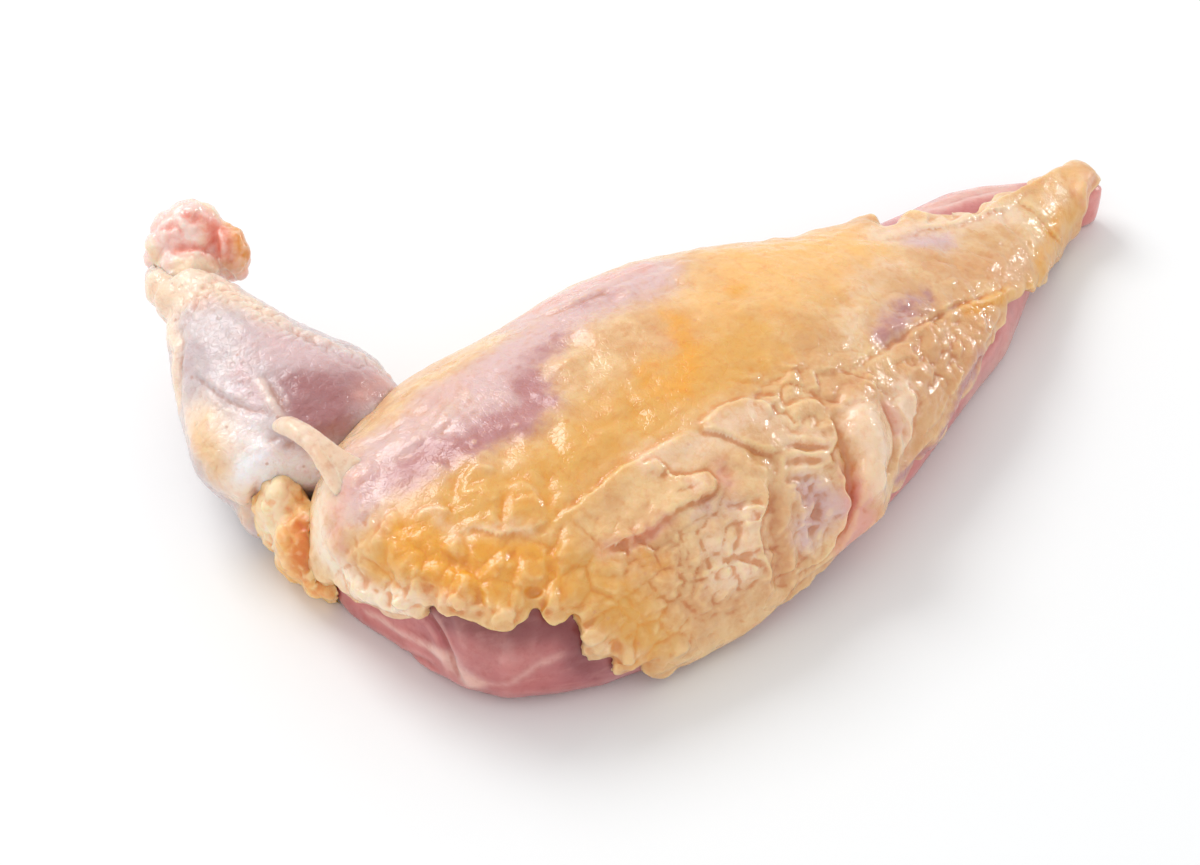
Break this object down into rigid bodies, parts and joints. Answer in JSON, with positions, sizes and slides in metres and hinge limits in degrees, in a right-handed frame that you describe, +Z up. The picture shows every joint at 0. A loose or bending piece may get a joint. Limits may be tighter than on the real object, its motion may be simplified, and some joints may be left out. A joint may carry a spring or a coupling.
{
  "type": "raw guinea fowl supreme",
  "caption": "Raw poultry breast fillet with its fatty skin on and the first wing joint left on, lying skin side up.",
  "frame": {"origin": "under the middle of the whole, on the surface that it rests on", "axes": "+X along the breast from the shoulder to the pointed tip, +Y towards the end of the wing joint, +Z up"},
  "size_m": [0.1854, 0.1283, 0.0324],
  "materials": {
    "breast_flesh": "moist raw meat",
    "breast_skin": "moist skin over fat",
    "wing_joint": "moist tight skin",
    "knuckle": "moist gristle",
    "fat_pad": "moist fat",
    "sinew": "moist sinew"
  },
  "bodies": {
    "root": {"breast_flesh": "breast_flesh", "breast_skin": "breast_skin", "wing_joint": "wing_joint", "knuckle": "knuckle", "fat_pad": "fat_pad", "sinew": "sinew"}
  },
  "joints": []
}
